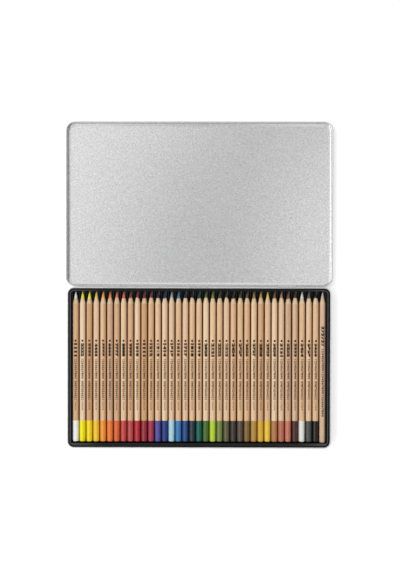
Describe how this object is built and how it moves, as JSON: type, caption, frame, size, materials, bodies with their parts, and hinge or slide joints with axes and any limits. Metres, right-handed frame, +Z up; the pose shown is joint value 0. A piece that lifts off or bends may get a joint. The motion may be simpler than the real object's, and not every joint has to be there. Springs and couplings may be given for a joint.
{
  "type": "coloured pencil tin",
  "caption": "Flat hinged tin, open, with a black formed tray that holds a row of sharpened coloured pencils; the lid shuts and each pencil lifts out.",
  "frame": {"origin": "middle of the base's underside, on the surface that the tin stands on", "axes": "+X along the row of pencils, +Y along the pencils towards the hinge and the open lid, +Z up"},
  "size_m": [0.3122, 0.381, 0.014],
  "materials": {
    "tinplate": "bright satin tinplate with a fine stone grain, rolled edges polished by handling",
    "hinge_wire": "drawn steel wire, plain",
    "tray_plastic": "black thermoformed sheet, satin",
    "cedar": "natural cedar under a thin clear coat, straight grain along the pencil",
    "print_ink": "dark stamped ink",
    "colour_white": "dipped lacquer, glossy, and the lead of the same colour, matte",
    "colour_lemon": "dipped lacquer, glossy, and the lead of the same colour, matte",
    "colour_yellow": "dipped lacquer, glossy, and the lead of the same colour, matte",
    "colour_golden_yellow": "dipped lacquer, glossy, and the lead of the same colour, matte",
    "colour_amber": "dipped lacquer, glossy, and the lead of the same colour, matte",
    "colour_orange": "dipped lacquer, glossy, and the lead of the same colour, matte",
    "colour_vermilion": "dipped lacquer, glossy, and the lead of the same colour, matte",
    "colour_scarlet": "dipped lacquer, glossy, and the lead of the same colour, matte",
    "colour_rose_red": "dipped lacquer, glossy, and the lead of the same colour, matte",
    "colour_carmine": "dipped lacquer, glossy, and the lead of the same colour, matte",
    "colour_dark_red": "dipped lacquer, glossy, and the lead of the same colour, matte",
    "colour_wine": "dipped lacquer, glossy, and the lead of the same colour, matte",
    "colour_violet": "dipped lacquer, glossy, and the lead of the same colour, matte",
    "colour_dark_blue": "dipped lacquer, glossy, and the lead of the same colour, matte",
    "colour_light_blue": "dipped lacquer, glossy, and the lead of the same colour, matte",
    "colour_sky_blue": "dipped lacquer, glossy, and the lead of the same colour, matte",
    "colour_ultramarine": "dipped lacquer, glossy, and the lead of the same colour, matte",
    "colour_slate": "dipped lacquer, glossy, and the lead of the same colour, matte",
    "colour_teal": "dipped lacquer, glossy, and the lead of the same colour, matte",
    "colour_leaf_green": "dipped lacquer, glossy, and the lead of the same colour, matte",
    "colour_lime": "dipped lacquer, glossy, and the lead of the same colour, matte",
    "colour_moss": "dipped lacquer, glossy, and the lead of the same colour, matte",
    "colour_olive": "dipped lacquer, glossy, and the lead of the same colour, matte",
    "colour_sepia": "dipped lacquer, glossy, and the lead of the same colour, matte",
    "colour_umber": "dipped lacquer, glossy, and the lead of the same colour, matte",
    "colour_brown_ochre": "dipped lacquer, glossy, and the lead of the same colour, matte",
    "colour_ochre": "dipped lacquer, glossy, and the lead of the same colour, matte",
    "colour_light_ochre": "dipped lacquer, glossy, and the lead of the same colour, matte",
    "colour_yellow_ochre": "dipped lacquer, glossy, and the lead of the same colour, matte",
    "colour_copper": "dipped lacquer, glossy, and the lead of the same colour, matte",
    "colour_terracotta": "dipped lacquer, glossy, and the lead of the same colour, matte",
    "colour_rose_brown": "dipped lacquer, glossy, and the lead of the same colour, matte",
    "colour_red_sepia": "dipped lacquer, glossy, and the lead of the same colour, matte",
    "colour_silver_white": "dipped lacquer, glossy, and the lead of the same colour, matte",
    "colour_grey": "dipped lacquer, glossy, and the lead of the same colour, matte",
    "colour_black": "dipped lacquer, glossy, and the lead of the same colour, matte",
    "blender_lead": "colourless wax lead, matte"
  },
  "bodies": {
    "base": {"base_tin": "tinplate", "hinge_wire": "hinge_wire", "pencil_tray": "tray_plastic"},
    "lid": {"lid_tin": "tinplate"},
    "pencil_01_white_body": {"pencil_01_white": "cedar"},
    "pencil_02_lemon_body": {"pencil_02_lemon": "cedar"},
    "pencil_03_yellow_body": {"pencil_03_yellow": "cedar"},
    "pencil_04_golden_yellow_body": {"pencil_04_golden_yellow": "cedar"},
    "pencil_05_amber_body": {"pencil_05_amber": "cedar"},
    "pencil_06_orange_body": {"pencil_06_orange": "cedar"},
    "pencil_07_vermilion_body": {"pencil_07_vermilion": "cedar"},
    "pencil_08_scarlet_body": {"pencil_08_scarlet": "cedar"},
    "pencil_09_rose_red_body": {"pencil_09_rose_red": "cedar"},
    "pencil_10_carmine_body": {"pencil_10_carmine": "cedar"},
    "pencil_11_dark_red_body": {"pencil_11_dark_red": "cedar"},
    "pencil_12_wine_body": {"pencil_12_wine": "cedar"},
    "pencil_13_violet_body": {"pencil_13_violet": "cedar"},
    "pencil_14_dark_blue_body": {"pencil_14_dark_blue": "cedar"},
    "pencil_15_light_blue_body": {"pencil_15_light_blue": "cedar"},
    "pencil_16_sky_blue_body": {"pencil_16_sky_blue": "cedar"},
    "pencil_17_ultramarine_body": {"pencil_17_ultramarine": "cedar"},
    "pencil_18_slate_body": {"pencil_18_slate": "cedar"},
    "pencil_19_teal_body": {"pencil_19_teal": "cedar"},
    "pencil_20_leaf_green_body": {"pencil_20_leaf_green": "cedar"},
    "pencil_21_lime_body": {"pencil_21_lime": "cedar"},
    "pencil_22_moss_body": {"pencil_22_moss": "cedar"},
    "pencil_23_olive_body": {"pencil_23_olive": "cedar"},
    "pencil_24_sepia_body": {"pencil_24_sepia": "cedar"},
    "pencil_25_umber_body": {"pencil_25_umber": "cedar"},
    "pencil_26_brown_ochre_body": {"pencil_26_brown_ochre": "cedar"},
    "pencil_27_ochre_body": {"pencil_27_ochre": "cedar"},
    "pencil_28_light_ochre_body": {"pencil_28_light_ochre": "cedar"},
    "pencil_29_yellow_ochre_body": {"pencil_29_yellow_ochre": "cedar"},
    "pencil_30_copper_body": {"pencil_30_copper": "cedar"},
    "pencil_31_terracotta_body": {"pencil_31_terracotta": "cedar"},
    "pencil_32_rose_brown_body": {"pencil_32_rose_brown": "cedar"},
    "pencil_33_red_sepia_body": {"pencil_33_red_sepia": "cedar"},
    "pencil_34_silver_white_body": {"pencil_34_silver_white": "cedar"},
    "pencil_35_grey_body": {"pencil_35_grey": "cedar"},
    "pencil_36_black_body": {"pencil_36_black": "cedar"},
    "pencil_37_blender_body": {"pencil_37_blender": "cedar"}
  },
  "joints": [
    {"name": "lid_hinge", "type": "hinge", "parent": "base", "child": "lid", "pos_m": [0, 0.0954, 0.00725], "axis": [-1, 0, 0], "range_deg": [-180, 0]},
    {"name": "lift_01_white", "type": "slide", "parent": "base", "child": "pencil_01_white_body", "axis": [0, 0, 1], "range_m": [0, 0.04]},
    {"name": "lift_02_lemon", "type": "slide", "parent": "base", "child": "pencil_02_lemon_body", "axis": [0, 0, 1], "range_m": [0, 0.04]},
    {"name": "lift_03_yellow", "type": "slide", "parent": "base", "child": "pencil_03_yellow_body", "axis": [0, 0, 1], "range_m": [0, 0.04]},
    {"name": "lift_04_golden_yellow", "type": "slide", "parent": "base", "child": "pencil_04_golden_yellow_body", "axis": [0, 0, 1], "range_m": [0, 0.04]},
    {"name": "lift_05_amber", "type": "slide", "parent": "base", "child": "pencil_05_amber_body", "axis": [0, 0, 1], "range_m": [0, 0.04]},
    {"name": "lift_06_orange", "type": "slide", "parent": "base", "child": "pencil_06_orange_body", "axis": [0, 0, 1], "range_m": [0, 0.04]},
    {"name": "lift_07_vermilion", "type": "slide", "parent": "base", "child": "pencil_07_vermilion_body", "axis": [0, 0, 1], "range_m": [0, 0.04]},
    {"name": "lift_08_scarlet", "type": "slide", "parent": "base", "child": "pencil_08_scarlet_body", "axis": [0, 0, 1], "range_m": [0, 0.04]},
    {"name": "lift_09_rose_red", "type": "slide", "parent": "base", "child": "pencil_09_rose_red_body", "axis": [0, 0, 1], "range_m": [0, 0.04]},
    {"name": "lift_10_carmine", "type": "slide", "parent": "base", "child": "pencil_10_carmine_body", "axis": [0, 0, 1], "range_m": [0, 0.04]},
    {"name": "lift_11_dark_red", "type": "slide", "parent": "base", "child": "pencil_11_dark_red_body", "axis": [0, 0, 1], "range_m": [0, 0.04]},
    {"name": "lift_12_wine", "type": "slide", "parent": "base", "child": "pencil_12_wine_body", "axis": [0, 0, 1], "range_m": [0, 0.04]},
    {"name": "lift_13_violet", "type": "slide", "parent": "base", "child": "pencil_13_violet_body", "axis": [0, 0, 1], "range_m": [0, 0.04]},
    {"name": "lift_14_dark_blue", "type": "slide", "parent": "base", "child": "pencil_14_dark_blue_body", "axis": [0, 0, 1], "range_m": [0, 0.04]},
    {"name": "lift_15_light_blue", "type": "slide", "parent": "base", "child": "pencil_15_light_blue_body", "axis": [0, 0, 1], "range_m": [0, 0.04]},
    {"name": "lift_16_sky_blue", "type": "slide", "parent": "base", "child": "pencil_16_sky_blue_body", "axis": [0, 0, 1], "range_m": [0, 0.04]},
    {"name": "lift_17_ultramarine", "type": "slide", "parent": "base", "child": "pencil_17_ultramarine_body", "axis": [0, 0, 1], "range_m": [0, 0.04]},
    {"name": "lift_18_slate", "type": "slide", "parent": "base", "child": "pencil_18_slate_body", "axis": [0, 0, 1], "range_m": [0, 0.04]},
    {"name": "lift_19_teal", "type": "slide", "parent": "base", "child": "pencil_19_teal_body", "axis": [0, 0, 1], "range_m": [0, 0.04]},
    {"name": "lift_20_leaf_green", "type": "slide", "parent": "base", "child": "pencil_20_leaf_green_body", "axis": [0, 0, 1], "range_m": [0, 0.04]},
    {"name": "lift_21_lime", "type": "slide", "parent": "base", "child": "pencil_21_lime_body", "axis": [0, 0, 1], "range_m": [0, 0.04]},
    {"name": "lift_22_moss", "type": "slide", "parent": "base", "child": "pencil_22_moss_body", "axis": [0, 0, 1], "range_m": [0, 0.04]},
    {"name": "lift_23_olive", "type": "slide", "parent": "base", "child": "pencil_23_olive_body", "axis": [0, 0, 1], "range_m": [0, 0.04]},
    {"name": "lift_24_sepia", "type": "slide", "parent": "base", "child": "pencil_24_sepia_body", "axis": [0, 0, 1], "range_m": [0, 0.04]},
    {"name": "lift_25_umber", "type": "slide", "parent": "base", "child": "pencil_25_umber_body", "axis": [0, 0, 1], "range_m": [0, 0.04]},
    {"name": "lift_26_brown_ochre", "type": "slide", "parent": "base", "child": "pencil_26_brown_ochre_body", "axis": [0, 0, 1], "range_m": [0, 0.04]},
    {"name": "lift_27_ochre", "type": "slide", "parent": "base", "child": "pencil_27_ochre_body", "axis": [0, 0, 1], "range_m": [0, 0.04]},
    {"name": "lift_28_light_ochre", "type": "slide", "parent": "base", "child": "pencil_28_light_ochre_body", "axis": [0, 0, 1], "range_m": [0, 0.04]},
    {"name": "lift_29_yellow_ochre", "type": "slide", "parent": "base", "child": "pencil_29_yellow_ochre_body", "axis": [0, 0, 1], "range_m": [0, 0.04]},
    {"name": "lift_30_copper", "type": "slide", "parent": "base", "child": "pencil_30_copper_body", "axis": [0, 0, 1], "range_m": [0, 0.04]},
    {"name": "lift_31_terracotta", "type": "slide", "parent": "base", "child": "pencil_31_terracotta_body", "axis": [0, 0, 1], "range_m": [0, 0.04]},
    {"name": "lift_32_rose_brown", "type": "slide", "parent": "base", "child": "pencil_32_rose_brown_body", "axis": [0, 0, 1], "range_m": [0, 0.04]},
    {"name": "lift_33_red_sepia", "type": "slide", "parent": "base", "child": "pencil_33_red_sepia_body", "axis": [0, 0, 1], "range_m": [0, 0.04]},
    {"name": "lift_34_silver_white", "type": "slide", "parent": "base", "child": "pencil_34_silver_white_body", "axis": [0, 0, 1], "range_m": [0, 0.04]},
    {"name": "lift_35_grey", "type": "slide", "parent": "base", "child": "pencil_35_grey_body", "axis": [0, 0, 1], "range_m": [0, 0.04]},
    {"name": "lift_36_black", "type": "slide", "parent": "base", "child": "pencil_36_black_body", "axis": [0, 0, 1], "range_m": [0, 0.04]},
    {"name": "lift_37_blender", "type": "slide", "parent": "base", "child": "pencil_37_blender_body", "axis": [0, 0, 1], "range_m": [0, 0.04]}
  ]
}
